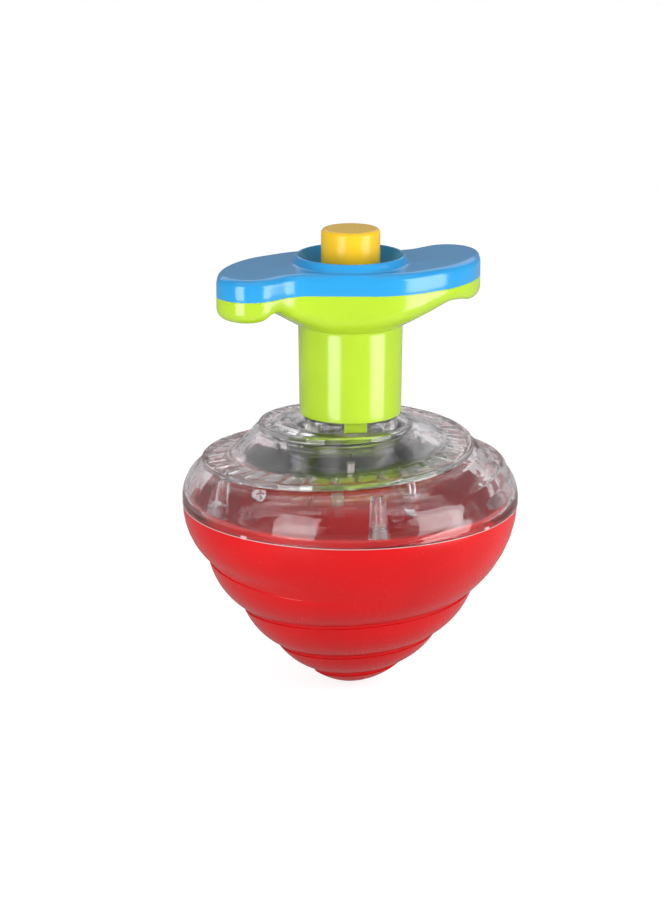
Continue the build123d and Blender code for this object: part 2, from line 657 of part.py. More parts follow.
wire_height = 28.4
with BuildPart() as lead_wire:
    with BuildLine() as wire_path:
        FilletPolyline((-6.1, 0, wire_height), (-8.6, 0, wire_height), (-8.6, 0, board_bottom), radius=1.3)
    with BuildSketch(Plane(origin=wire_path.line @ 0, z_dir=wire_path.line % 0)):
        Circle(0.4)
    sweep()
finish(lead_wire.part, "lead_wire", (0.8, 0.1, 0.1))
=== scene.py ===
"""Spinning top docked in its hand launcher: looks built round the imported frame.

Sizes in the code are millimetres until a piece is settled, and metres after that.
The origin is the spin tip and +Z points up through the push button.
"""
from math import atan2, ceil, cos, degrees, exp, hypot, log, pi, radians, sin, tan

import bmesh
import bpy
from bpy.props import FloatProperty, FloatVectorProperty, IntProperty, PointerProperty
from mathutils import Matrix, Vector


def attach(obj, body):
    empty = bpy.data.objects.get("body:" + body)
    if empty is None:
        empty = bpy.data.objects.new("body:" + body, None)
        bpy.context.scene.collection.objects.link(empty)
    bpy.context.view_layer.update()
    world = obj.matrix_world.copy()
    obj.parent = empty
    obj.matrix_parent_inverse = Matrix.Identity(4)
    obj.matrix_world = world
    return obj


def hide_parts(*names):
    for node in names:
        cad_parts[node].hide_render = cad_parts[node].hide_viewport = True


bl_info = {
    "name": "Spinning Top With Launcher",
    "version": (1, 0, 0),
    "blender": (4, 5, 0),
    "location": "View3D > Sidebar > Spinning Top",
    "description": "Builds the finished pieces, materials and stage of a launcher and its light-up top",
    "category": "Object",
}

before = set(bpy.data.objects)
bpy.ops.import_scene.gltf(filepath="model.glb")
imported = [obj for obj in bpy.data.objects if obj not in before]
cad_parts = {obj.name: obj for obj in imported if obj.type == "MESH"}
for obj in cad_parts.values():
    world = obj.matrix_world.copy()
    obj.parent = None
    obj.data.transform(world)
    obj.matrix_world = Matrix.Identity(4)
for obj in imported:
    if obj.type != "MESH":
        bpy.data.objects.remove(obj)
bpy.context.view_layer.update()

MM = 0.001
TURN = 2 * pi


# ------------------------------------------------------------------ sizes and colours a user may change
class TopSizes(bpy.types.PropertyGroup):
    """Sizes of the top's shells, in millimetres"""

    seam_radius: FloatProperty(name="Seam radius", description="Radius of the line between dome and cone",
                               default=34.9, min=30.0, max=40.0)
    seam_height: FloatProperty(name="Seam height", description="Height of the line between dome and cone",
                               default=40.0, min=35.0, max=45.0)
    wall: FloatProperty(name="Dome wall", description="Thickness of the clear dome's roof", default=1.4,
                        min=0.8, max=2.0)
    lip: FloatProperty(name="Lip", description="Height of the step at each spiral edge of the dome",
                       default=1.3, min=0.5, max=2.0)
    outer_windows: IntProperty(name="Outer windows", description="Sunk windows in one turn of the outer ramp",
                               default=33, min=11, max=66)
    inner_windows: IntProperty(name="Inner windows", description="Sunk windows in one turn of the inner ramp",
                               default=22, min=11, max=44)
    window_depth: FloatProperty(name="Window depth", description="How deep a window is sunk", default=0.55,
                                min=0.2, max=1.0)
    groove: FloatProperty(name="Cone lip", description="Width of the small step under each edge of the cone",
                          default=0.75, min=0.2, max=1.5)


class LauncherSizes(bpy.types.PropertyGroup):
    """Sizes of the launcher's shells, in millimetres"""

    split_height: FloatProperty(name="Split height", description="Height of the line between the two shells",
                                default=86.3, min=84.0, max=88.0)
    cover_top: FloatProperty(name="Cover top", description="Height of the grip's upper face", default=90.6,
                             min=88.0, max=92.0)
    under_radius: FloatProperty(name="Lower edge radius", description="Rounding under the grip", default=2.3,
                                min=0.5, max=3.0)
    upper_radius: FloatProperty(name="Upper edge radius", description="Rounding on top of the grip",
                                default=1.7, min=0.5, max=2.5)


class PartColours(bpy.types.PropertyGroup):
    """Moulded colours, as linear red, green and blue"""

    lime: FloatVectorProperty(name="Lime", description="Launcher body", subtype="COLOR", size=3,
                              default=(0.435, 0.65, 0.026))
    blue: FloatVectorProperty(name="Blue", description="Launcher cover", subtype="COLOR", size=3,
                              default=(0.019, 0.317, 0.68))
    yellow: FloatVectorProperty(name="Yellow", description="Push button", subtype="COLOR", size=3,
                                default=(0.93, 0.56, 0.018))
    red: FloatVectorProperty(name="Red", description="Cone of the top", subtype="COLOR", size=3,
                             default=(0.64, 0.004, 0.006))
    clear: FloatVectorProperty(name="Clear", description="Tint of the clear dome", subtype="COLOR", size=3,
                               default=(0.975, 0.945, 0.955))


# ------------------------------------------------------------------ shader arithmetic
class Wire:
    """An output socket that ordinary arithmetic can be written on."""

    def __init__(self, finish, socket):
        self.finish, self.socket = finish, socket

    def _join(self, operation, first, second):
        node = self.finish.node("Math", {"operation": operation}, {0: first, 1: second})
        return Wire(self.finish, node.outputs[0])

    def __add__(self, other):
        return self._join("ADD", self, other)

    __radd__ = __add__

    def __mul__(self, other):
        return self._join("MULTIPLY", self, other)

    __rmul__ = __mul__


class Finish:
    """One moulded, pressed or plated finish and the nodes that draw it."""

    def __init__(self, name):
        self.material = bpy.data.materials.new(name)
        self.material.use_nodes = True
        self.tree = self.material.node_tree
        self.tree.nodes.clear()
        self.place = Wire(self, self.node("TexCoord", {}, {}).outputs["Object"])

    def node(self, kind, settings, values):
        """Adds a node: its settings first, then the numbers or wires of its sockets."""
        node = self.tree.nodes.new("ShaderNode" + kind)
        for key, value in settings.items():
            setattr(node, key, value)
        for key, value in values.items():
            if isinstance(value, Wire):
                self.tree.links.new(value.socket, node.inputs[key])
            else:
                node.inputs[key].default_value = value
        return node

    def noise(self, scale, detail=3.0, rough=0.55, where=None):
        """Soft random values from 0 to 1; scale is patches per metre."""
        node = self.node("TexNoise", {}, {"Vector": where or self.place, "Scale": scale, "Detail": detail,
                                          "Roughness": rough})
        return Wire(self, node.outputs[0])

    def stretched(self, size):
        """The place on the piece, stretched along its axes."""
        node = self.node("Mapping", {}, {"Vector": self.place, "Scale": size})
        return Wire(self, node.outputs[0])

    def cells(self, scale, feature="F1", where=None):
        """Distance to the nearest of many scattered points."""
        node = self.node("TexVoronoi", {"feature": feature}, {"Vector": where or self.place, "Scale": scale})
        return Wire(self, node.outputs["Distance"])

    def band(self, value, low, high, start=0.0, end=1.0):
        """Eases from start to end as value goes from low to high."""
        node = self.node("MapRange", {"interpolation_type": "SMOOTHSTEP"}, {
            "Value": value, "From Min": low, "From Max": high, "To Min": start, "To Max": end})
        return Wire(self, node.outputs[0])

    def tint(self, share, first, second):
        """Mixes two colours."""
        node = self.node("Mix", {"data_type": "RGBA"}, {0: share, 6: first, 7: second})
        return Wire(self, node.outputs[2])

    def bump(self, value, depth, strength=1.0):
        """Normal of a surface raised by value times depth, in metres."""
        node = self.node("Bump", {}, {"Height": value, "Distance": depth, "Strength": strength})
        return Wire(self, node.outputs[0])

    def surface(self, **values):
        """The plastic, metal or glass shader, and the material's end."""
        names = {key: key.replace("_", " ") for key in values}
        shader = self.node("BsdfPrincipled", {}, {names[key]: value for key, value in values.items()})
        self.node("OutputMaterial", {}, {"Surface": Wire(self, shader.outputs[0])})
        return self.material


def four(colour, scale=1.0):
    """A colour with its alpha."""
    return (*(min(1.0, scale * part) for part in colour), 1.0)


def moulded(name, colour, gloss=0.16, coat=0.25, level=0.5):
    """Glossy moulded plastic: drifting shade, fine moulding skin, hairline scuffs and a hard shine."""
    finish = Finish(name)
    drift = finish.noise(55, 2.0)
    skin = finish.noise(1500, 2.0, 0.6)
    flow = finish.noise(1, 3.0, 0.5, finish.stretched((900, 900, 70)))
    scuff = finish.band(finish.noise(1, 5.0, 0.7, finish.stretched((2600, 300, 900))), 0.62, 0.8)
    wave = finish.noise(170, 1.0)
    shade = finish.tint(finish.band(drift, 0.3, 0.7), four(colour, 0.93), four(colour, 1.03))
    shade = finish.tint(flow * 0.12, shade, four(colour, 0.8))
    rough = gloss + drift * 0.05 + scuff * 0.10
    relief = finish.bump(wave * 3.0 + skin * 0.12 + scuff * 0.05, 0.00001)
    return finish.surface(Base_Color=shade, Roughness=rough, Normal=relief, IOR=1.5, Coat_Weight=coat,
                          Coat_Roughness=0.06, Specular_IOR_Level=level)


def clear_moulded(name, colour, milk=0.0, rough=0.015, index=1.49, cover=1.0):
    """Clear moulded plastic: faintly tinted, with slow ripples left by the mould."""
    finish = Finish(name)
    ripple = finish.noise(150, 2.0, 0.5)
    skin = finish.noise(1200, 2.0, 0.6)
    drift = finish.noise(40, 2.0)
    shade = finish.tint(finish.band(drift, 0.3, 0.7), four(colour, 0.975), four(colour, 1.01))
    haze = rough + finish.band(finish.noise(260, 4.0, 0.65), 0.55, 0.8, 0.0, 0.05)
    relief = finish.bump(ripple + skin * 0.03, 0.00012)
    return finish.surface(Base_Color=shade, Roughness=haze, Normal=relief, IOR=index, Alpha=cover,
                          Transmission_Weight=1.0 - milk)


def plated(name, colour, rough=0.25, brushed=(600, 600, 3000)):
    """Bright metal with fine drawing lines and dull patches."""
    finish = Finish(name)
    lines = finish.noise(1, 3.0, 0.6, finish.stretched(brushed))
    patch = finish.noise(400, 3.0)
    shade = finish.tint(finish.band(patch, 0.35, 0.7), four(colour), four(colour, 0.82))
    return finish.surface(Base_Color=shade, Metallic=1.0, Roughness=rough + lines * 0.15 + patch * 0.1,
                          Normal=finish.bump(lines, 0.00001))


def board_lacquer(name):
    """Black solder lacquer with copper tracks showing faintly under it."""
    finish = Finish(name)
    weave = finish.noise(1, 1.0, 0.5, finish.stretched((1800, 1800, 20)))
    track = finish.band(finish.cells(260, "DISTANCE_TO_EDGE"), 0.05, 0.09, 1.0, 0.0)
    shade = finish.tint(track * 0.5, (0.012, 0.016, 0.014, 1), (0.04, 0.055, 0.035, 1))
    return finish.surface(Base_Color=shade, Roughness=0.3 + weave * 0.15,
                          Normal=finish.bump(track + weave * 0.2, 0.00003))


# ------------------------------------------------------------------ mesh helpers
def settle(name, shape, material, body, stands_for=(), sharp=32.0):
    """Turns a finished shape in millimetres into a piece that rides on its body."""
    bmesh.ops.scale(shape, vec=(MM, MM, MM), verts=shape.verts)
    mesh = bpy.data.meshes.new(name)
    shape.to_mesh(mesh)
    shape.free()
    mesh.materials.append(material)
    mesh.polygons.foreach_set("use_smooth", [True] * len(mesh.polygons))
    mesh.set_sharp_from_angle(angle=radians(sharp))
    piece = bpy.data.objects.new(name, mesh)
    bpy.context.scene.collection.objects.link(piece)
    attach(piece, body)
    if stands_for:
        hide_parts(*stands_for)
    return piece


def repaint(node, material):
    """Gives a carried-over node a better material."""
    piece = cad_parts[node]
    if not piece.material_slots:
        piece.data.materials.append(material)
    for place in piece.material_slots:
        place.material = material


def ease(value):
    """Smooth step from 0 to 1."""
    value = min(1.0, max(0.0, value))
    return value * value * (3 - 2 * value)


def blend(first, second, share):
    """Point part of the way from first to second."""
    return tuple(a + share * (b - a) for a, b in zip(first, second))


def arc_point(start, end, bulge, share):
    """Point on an arc from start to end that leaves its chord by bulge radians, on the outer side."""
    chord = (end[0] - start[0], end[1] - start[1])
    length = hypot(*chord)
    if length < 1e-9 or abs(bulge) < 1e-6:
        return blend(start, end, share)
    side = (chord[1], -chord[0]) if chord[1] > 0 else (-chord[1], chord[0])
    side = (side[0] / length, side[1] / length)
    radius = length / 2 / sin(bulge)
    turn = bulge * (2 * share - 1)
    along = length / 2 + radius * sin(turn)
    out = radius * (cos(turn) - cos(bulge))
    return (start[0] + along * chord[0] / length + out * side[0],
            start[1] + along * chord[1] / length + out * side[1])


def along_path(corners, place):
    """Point on a run of corners; place counts corners, so 1.5 is half way along the second run."""
    index = min(int(place), len(corners) - 2)
    return blend(corners[index], corners[index + 1], place - index)


def spiral_sheet(shape, start, turns, rows_per_turn, stations, law):
    """A strip of faces wrapped round the axis: law(turn) gives each row's angle and its shape."""
    rows, columns = round(turns * rows_per_turn), len(stations) - 1
    made = bmesh.ops.create_grid(shape, x_segments=rows, y_segments=columns, size=1.0)["verts"]
    lines = {}
    for vertex in made:
        lines.setdefault(round((vertex.co.x + 1) / 2 * rows), []).append(vertex)
    for row, line in lines.items():
        angle, place = law(start + row / rows_per_turn)
        for vertex in line:
            radius, height = place(stations[round((vertex.co.y + 1) / 2 * columns)])
            vertex.co = (radius * cos(angle), radius * sin(angle), height)


def join(shape, other):
    """Moves all of another shape into this one."""
    spare = bpy.data.meshes.new("spare")
    other.to_mesh(spare)
    other.free()
    shape.from_mesh(spare)
    bpy.data.meshes.remove(spare)


def lathe(shape, profile, steps):
    """Spins a run of (radius, height) points round the axis and adds what it makes to the shape."""
    turned = bmesh.new()
    corners = [turned.verts.new((radius, 0, height)) for radius, height in profile]
    edges = [turned.edges.new(pair) for pair in zip(corners, corners[1:])]
    bmesh.ops.spin(turned, geom=corners + edges, cent=(0, 0, 0), axis=(0, 0, 1), angle=TURN, steps=steps,
                   use_merge=True, use_normal_flip=False, use_duplicate=False)
    join(shape, turned)


def close_up(shape, distance=0.002):
    """Merges coincident points, drops faces with no area and turns all faces outwards."""
    bmesh.ops.remove_doubles(shape, verts=shape.verts, dist=distance)
    short = [edge for edge in shape.edges if edge.calc_length() < distance]
    bmesh.ops.dissolve_degenerate(shape, dist=distance, edges=short)
    bmesh.ops.recalc_face_normals(shape, faces=shape.faces)


# ------------------------------------------------------------------ the red cone
CONE_START = -0.45           # turns; the edge leaves the seam here
CONE_FADE = 0.5              # turns over which the edge becomes sharp
CONE_NOSE = 3.8              # turns; the edge reaches the nose
CONE_ROWS = 288              # rows of faces in one turn
NOSE = (1.9, 0.68)
BEAD = 1 / 13                # share of a band's run taken by the small bead under its step


def cone_edge(turn):
    """Radius and height of the cone's spiral edge; turns run clockwise from -X."""
    turn = min(turn, CONE_NOSE)
    radius = 30.3 - 7.45 * turn
    height = 29.1 - 12.35 * turn + 1.30 * turn**2
    if turn < 0:
        radius += 1.1 * (turn / 0.3) ** 2
    if turn > CONE_NOSE - 0.4:
        share = ease((turn - CONE_NOSE + 0.4) / 0.4)
        radius, height = blend((radius, height), NOSE, share)
    return (radius, height)


def cone_band(upper, lower, groove, share):
    """One convex band: a small inset step under the upper edge, then the long curve to the lower edge."""
    length = hypot(upper[0] - lower[0], upper[1] - lower[1])
    step = min(groove, 0.16 * length)
    bulge = radians(min(22.0, 1.75 * length))
    foot = (upper[0] - 1.05 * step, upper[1] - 0.15 * step)
    wall = (upper[0] - 1.10 * step, upper[1] - 1.15 * step)
    bead = (upper[0] - 0.75 * step, upper[1] - 1.25 * step)
    if share < 1.0:
        return blend(upper, foot, share)
    if share < 2.0:
        return blend(foot, wall, share - 1.0)
    if share < 2.0 + BEAD:
        return blend(wall, bead, (share - 2.0) / BEAD)
    return arc_point(bead, lower, bulge, (share - 2.0 - BEAD) / (1 - BEAD))


def cone_law(groove, seam):
    """Law of the cone's outer strip; stations go from 0 at its upper edge to 3 at its lower edge."""

    def first_band(turn, share):
        return arc_point(seam, cone_edge(turn), radians(24.0), share)

    def law(turn):
        angle = pi - TURN * turn
        low = turn < CONE_START + 1
        start = turn if low else turn - 1
        if low:
            sharp_place = lambda station: first_band(turn, station / 3)
        else:
            upper, lower = cone_edge(turn - 1), cone_edge(turn)
            sharp_place = lambda station: cone_band(upper, lower, groove, station)
        if start >= CONE_START + CONE_FADE:
            return angle, sharp_place
        split, sharp = fading(seam, cone_edge(start), cone_edge(start + 1), (start - CONE_START) / CONE_FADE)
        if low:
            return angle, lambda station: blend(first_band(start + 1, split * station / 3),
                                                sharp_place(station), sharp)
        return angle, lambda station: blend(first_band(turn, split + (1 - split) * station / 3),
                                            sharp_place(station), sharp)

    return law


def fading(seam, edge, beyond, grown):
    """Where the young edge divides the smooth wall, and how sharp it is yet."""
    near = hypot(seam[0] - edge[0], seam[1] - edge[1])
    whole = near + hypot(edge[0] - beyond[0], edge[1] - beyond[1])
    return near / whole * ease(grown / 0.6), ease(grown)


# ------------------------------------------------------------------ the clear dome
DOME_START = -0.25           # turns; the edge leaves the seam here
DOME_FADE = 0.4
DOME_END = 2.07              # turns; the edge runs into the collar
DOME_ROWS = 396              # rows of faces in one turn
COLLAR = 11.8
WIDEST = (35.0, 41.3)
POSTS, FIRST_POST, POST_CIRCLE = 5, -79.6, 30.6     # number, degrees from +X, and circle they stand on


def dome_edge(turn):
    """Radius and height of the dome's spiral edge; turns run anticlockwise from +X."""
    softness = 0.12
    radius = 32.3 - 12.7 * softness * log(1 + exp((min(turn, DOME_END) - 0.46) / softness))
    radius = max(radius, COLLAR)
    return (radius, 57.6 - 10.6 * (radius / 32.3) ** 3)


def dome_wall(seam, turn, share):
    """Smooth outer wall from the seam, past the widest circle, up to the edge."""
    if share < 0.2:
        return blend(seam, WIDEST, share / 0.2)
    edge = dome_edge(turn)
    lean = atan2(WIDEST[0] - edge[0], edge[1] - WIDEST[1])
    return arc_point(WIDEST, edge, lean, (share - 0.2) / 0.8)


def dome_corners(lip, turn):
    """Corners of one stepped band: lip, ramp and tier wall."""
    start, end = dome_edge(turn - 1), dome_edge(turn)
    width = start[0] - end[0]
    size = min(1.0, width / 4.0)
    lip = lip * size
    low = (start[0] - 0.12 * size, start[1] + 0.75 * lip)
    high = (start[0] - 0.45 * size, start[1] + lip)
    foot = (start[0] - 0.48 * width, start[1] + lip + 0.4 * size)
    toe = (foot[0] - 0.06 * width, foot[1] + 0.05 * (end[1] - foot[1]) + 0.15 * size)
    brow = blend(end, foot, 0.12)
    brow = (brow[0] + 0.02 * width, brow[1] + 0.25 * size)
    return [start, low, high, foot, toe, brow, end]


def window_sink(across, along, half_across, half_along, depth):
    """How far a point is sunk by a rounded window; across and along are measured from its middle."""
    corner = 0.7
    past = (max(abs(across) - half_across + corner, 0.0), max(abs(along) - half_along + corner, 0.0))
    outside = hypot(*past) - corner
    return depth * (1 - ease((outside + 0.55) / 0.6))


def dome_law(sizes, seam, sunk=True, shift=(0.0, 0.0)):
    """Law of the dome's strip; shift moves it inwards and down for the inner face of the wall.
    Stations count the corners of a step, from 0 at the outer edge to 6 at the inner edge."""

    def step_place(turn):
        corners = dome_corners(sizes.lip, turn)
        length = corners[2][0] - corners[3][0]
        count = sizes.outer_windows if turn < DOME_START + 2.05 else sizes.inner_windows
        depth = sizes.window_depth * min(1.0, length / 4)

        def place(station):
            radius, height = along_path(corners, station)
            if sunk and 2.0 < station < 3.0 and length > 2.0:
                pitch = TURN * radius / count
                across = ((turn * count) % 1.0 - 0.5) * pitch
                along = (station - 2.5) * length
                height -= window_sink(across, along, pitch / 2 - 0.4, length / 2 - 0.35,
                                      depth * (1.4 - 1.2 * (station - 2.0)))
            return (radius, height)

        return place

    def law(turn):
        low = turn < DOME_START + 1
        start = turn if low else turn - 1
        share = 1 / 6
        if low:
            sharp_place = lambda station: dome_wall(seam, turn, station * share)
        else:
            sharp_place = step_place(turn)
        place = sharp_place
        if start < DOME_START + DOME_FADE:
            split, sharp = fading(seam, dome_edge(start), dome_edge(start + 1),
                                  (start - DOME_START) / DOME_FADE)
            if low:
                place = lambda station: blend(dome_wall(seam, turn + 1, split * station * share),
                                              sharp_place(station), sharp)
            else:
                place = lambda station: blend(dome_wall(seam, turn, split + (1 - split) * station * share),
                                              sharp_place(station), sharp)

        def shifted(station):
            radius, height = place(station)
            inside = ease((height - seam[1]) / 5.0)
            return (radius - shift[0] * (1.6 - 0.6 * inside), height - shift[1] * inside)

        return TURN * turn, shifted

    return law


def post_spots():
    """Foot and direction of each post."""
    for index in range(POSTS):
        angle = radians(FIRST_POST + 360 / POSTS * index)
        yield (POST_CIRCLE * cos(angle), POST_CIRCLE * sin(angle), 0), angle


# ------------------------------------------------------------------ launcher outline
LOBE_CORNERS = ((-11.0, -12.9, 7.0), (-18.6, -20.0, 6.0), (-27.0, -17.6, 6.6), (-27.0, 0.8, 20.0),
                (-10.5, 13.4, 16.0))
BARREL_LOW, BARREL_HIGH, FLARE_BASE = 10.5, 10.75, 77.9
SHELL_WALL = 1.6


def flare_height(radius):
    """Height of the grip's underside at a radius: up from the barrel, over an arch and down again."""
    knots = ((10.75, 77.9), (12.0, 78.55), (14.0, 79.7), (17.0, 81.45), (20.3, 83.1), (22.4, 82.85),
             (24.6, 81.95), (27.4, 81.7), (40.0, 81.7))
    if radius <= knots[0][0]:
        return knots[0][1]
    for (r0, z0), (r1, z1) in zip(knots, knots[1:]):
        if radius <= r1:
            index = knots.index((r0, z0))
            before = knots[max(index - 1, 0)]
            after = knots[min(index + 2, len(knots) - 1)]
            slope0 = (z1 - before[1]) / (r1 - before[0])
            slope1 = (after[1] - z0) / (after[0] - r0)
            span = r1 - r0
            s = (radius - r0) / span
            return ((2 * s**3 - 3 * s**2 + 1) * z0 + (s**3 - 2 * s**2 + s) * span * slope0
                    + (3 * s**2 - 2 * s**3) * z1 + (s**3 - s**2) * span * slope1)
    return knots[-1][1]


def grip_face(shape, height):
    """The grip's outline as one face: ten corners rounded off, long runs divided."""
    corners = [(x, y, r) for x, y, r in LOBE_CORNERS] + [(-x, -y, r) for x, y, r in LOBE_CORNERS]
    made = [shape.verts.new((x, y, height)) for x, y, _ in corners]
    shape.faces.new(made)
    count = len(made)
    cuts = []
    for index, (x, y, radius) in enumerate(corners):
        before = Vector(corners[index - 1][:2]) - Vector((x, y))
        after = Vector(corners[(index + 1) % count][:2]) - Vector((x, y))
        cuts.append(radius / tan(before.angle(after) / 2))
    for vertex, cut in zip(made, cuts):
        bmesh.ops.bevel(shape, geom=[vertex], affect="VERTICES", offset=cut, offset_type="OFFSET",
                        segments=14, profile=0.5, material=-1, clamp_overlap=False)
    for edge in list(shape.edges):
        runs = ceil(edge.calc_length() / 0.9)
        if runs > 1:
            bmesh.ops.subdivide_edges(shape, edges=[edge], cuts=runs - 1)
    return shape.faces[:][0]


def push(shape, face, place):
    """Carries a face on by one ring and moves its corners where place(index, old) says."""
    bmesh.ops.inset_region(shape, faces=[face], thickness=0.0, use_boundary=True)
    for index, vertex in enumerate(ring_of(face)):
        vertex.co = place(index, vertex.co.copy())


def ring_of(face):
    """Corners of a face in order."""
    return [loop.vert for loop in face.loops]


def inner_ring(shape_height, thickness):
    """The grip's outline and the same outline moved inwards, as two lists of points."""
    shape = bmesh.new()
    face = grip_face(shape, shape_height)
    outer = [vertex.co.copy() for vertex in ring_of(face)]
    bmesh.ops.inset_region(shape, faces=[face], thickness=thickness, use_boundary=True,
                           use_even_offset=True)
    inner = [vertex.co.copy() for vertex in ring_of(face)]
    shape.free()
    return outer, inner


# ------------------------------------------------------------------ operators, one for each piece or group
class SPINTOP_OT_cone(bpy.types.Operator):
    """Model the red cone with its spiral edge, hollow inside"""

    bl_idname = "spintop.cone"
    bl_label = "Red Cone"

    def execute(self, context):
        sizes = context.scene.spintop_sizes
        seam = (sizes.seam_radius, sizes.seam_height)
        shape = bmesh.new()
        stations = [0.0, 0.5, 1.0, 1.5] + [2.0 + step / 13 for step in range(14)]
        turns = CONE_NOSE + 1 - CONE_START
        rows = CONE_ROWS
        spiral_sheet(shape, CONE_START, turns, rows, stations, cone_law(sizes.groove, seam))
        nose = [(NOSE[0] * cos(step * pi / 12), NOSE[1] * (1 - sin(step * pi / 12))) for step in range(7)]
        lathe(shape, nose, rows)
        rim = [seam, (33.6, seam[1]), (33.4, seam[1] - 0.4), (32.9, seam[1] - 0.4), (32.8, seam[1] + 1.1),
               (32.6, seam[1] + 1.2), (32.2, seam[1] + 1.2), (32.0, seam[1] + 1.0), (31.9, seam[1] - 1.5)]
        inside = [(31.0, 36.2), (29.2, 33.0), (27.2, 30.0), (23.5, 24.5), (19.8, 19.2), (16.2, 14.9),
                  (12.4, 10.6), (8.7, 7.9), (5.0, 5.4), (2.4, 4.6), (0.0, 4.2)]
        lathe(shape, rim + inside, rows)
        close_up(shape)
        settle("cone_skin", shape, self.finish(context), "top", ["cone_shell"], 24.0)
        # sockets that take the dome's pegs
        sockets = bmesh.new()
        for spot, _ in post_spots():
            socket = bmesh.new()
            lathe(socket, [(2.1, 33.2), (2.2, 33.6), (2.2, 39.7), (2.05, 39.9), (1.6, 39.9), (1.45, 39.7),
                           (1.45, 36.2), (0.0, 36.0)], 40)
            bmesh.ops.translate(socket, vec=spot, verts=socket.verts)
            join(sockets, socket)
        close_up(sockets)
        settle("peg_sockets", sockets, self.finish(context), "top")
        return {"FINISHED"}

    @staticmethod
    def finish(context):
        known = bpy.data.materials.get("red_moulding")
        return known or moulded("red_moulding", context.scene.spintop_colours.red, gloss=0.24, coat=0.0,
                                level=0.3)


class SPINTOP_OT_dome(bpy.types.Operator):
    """Model the clear dome: spiral steps, sunk windows, collar with three slots, hollow posts"""

    bl_idname = "spintop.dome"
    bl_label = "Clear Dome"

    def execute(self, context):
        sizes = context.scene.spintop_sizes
        clear = clear_moulded("clear_moulding", context.scene.spintop_colours.clear, cover=0.82)
        milky = clear_moulded("milky_moulding", (0.9, 0.84, 0.85), milk=0.35, rough=0.25, cover=0.9)
        seam = (sizes.seam_radius, sizes.seam_height)
        turns = DOME_END + 1 - DOME_START
        ramp = [2.0 + step / 22 for step in range(23)]
        stations = [0.0, 0.35, 0.7, 1.0, 1.5] + ramp + [3.5, 4.0, 4.12, 4.25, 4.4, 4.55, 4.7, 4.85, 5.0,
                                                       5.33, 5.66, 6.0]
        rows = DOME_ROWS
        shape = bmesh.new()
        spiral_sheet(shape, DOME_START, turns, rows, stations, dome_law(sizes, seam))
        coarse = [0.0, 1.0, 2.0, 2.33, 2.66, 3.0, 4.0, 4.25, 4.5, 4.75, 5.0, 5.5, 6.0]
        wall = sizes.wall
        spiral_sheet(shape, DOME_START, turns, rows, coarse,
                     dome_law(sizes, seam, False, (1.15, wall)))
        law = dome_law(sizes, seam, False)
        inner = dome_law(sizes, seam, False, (1.15, wall))
        outer_radius, outer_height = law(DOME_END + 1)[1](6.0)
        inner_radius, inner_height = inner(DOME_END + 1)[1](6.0)
        foot_radius = inner(DOME_START)[1](0.0)[0]
        lathe(shape, [seam, (seam[0] - 0.7, seam[1]), (foot_radius, seam[1])], rows)
        collar = [(outer_radius, outer_height), (11.45, outer_height - 0.1), (11.3, outer_height - 0.35),
                  (11.25, 56.5), (11.0, 56.2), (10.4, 56.1), (5.2, 56.1), (4.1, 56.2), (4.0, 56.0),
                  (4.0, 55.1), (4.2, 54.95), (9.0, 54.9), (inner_radius, inner_height)]
        lathe(shape, collar, rows)
        close_up(shape)
        settle("dome_skin", shape, clear, "top", ["clear_dome"], 28.0)
        self.collar(clear)
        self.posts(clear, milky)
        return {"FINISHED"}

    def collar(self, clear):
        """Raised ring in three pieces; the gaps take the launcher's claws."""
        shape = bmesh.new()
        half_gap = degrees(5.3 / 2 / 8.5)
        for index in range(3):
            part = bmesh.new()
            profile = [(7.3, 56.13), (9.7, 56.13), (9.7, 58.2), (9.4, 58.5), (7.6, 58.5), (7.3, 58.2)]
            start = radians(-83.0 + 120 * index + half_gap)
            sweep = radians(120 - 2 * half_gap)
            corners = [part.verts.new((r, 0, z)) for r, z in profile]
            face = part.faces.new(corners)
            bmesh.ops.rotate(part, cent=(0, 0, 0), matrix=Matrix.Rotation(start, 3, "Z"), verts=part.verts)
            bmesh.ops.spin(part, geom=[face] + list(part.edges) + list(part.verts), cent=(0, 0, 0),
                           axis=(0, 0, 1), angle=sweep, steps=36, use_merge=False)
            join(shape, part)
        close_up(shape)
        settle("dome_collar", shape, clear, "top")

    def posts(self, clear, milky):
        """Hollow posts between the roof and the seam, with their pegs."""
        shape, pegs = bmesh.new(), bmesh.new()
        for spot, angle in post_spots():
            post = bmesh.new()
            lathe(post, [(1.2, 43.2), (1.25, 40.6), (1.5, 40.4), (2.0, 40.4), (2.15, 40.6), (1.45, 48.4),
                         (1.25, 48.8), (0.9, 48.8), (0.7, 48.5), (0.6, 43.6), (0.9, 43.25), (1.2, 43.2)], 48)
            bmesh.ops.rotate(post, cent=(0, 0, 40.4), matrix=Matrix.Rotation(radians(-13.0), 3, "Y"),
                             verts=post.verts)
            bmesh.ops.rotate(post, cent=(0, 0, 0), matrix=Matrix.Rotation(angle, 3, "Z"), verts=post.verts)
            bmesh.ops.translate(post, vec=spot, verts=post.verts)
            join(shape, post)
            peg = bmesh.new()
            lathe(peg, [(0.0, 36.1), (1.1, 36.1), (1.35, 36.4), (1.35, 40.3), (1.22, 40.7), (1.15, 42.6),
                        (0.9, 42.9), (0.0, 42.9)], 40)
            bmesh.ops.translate(peg, vec=spot, verts=peg.verts)
            join(pegs, peg)
        close_up(shape)
        close_up(pegs)
        settle("dome_posts", shape, clear, "top")
        settle("dome_pegs", pegs, milky, "top")


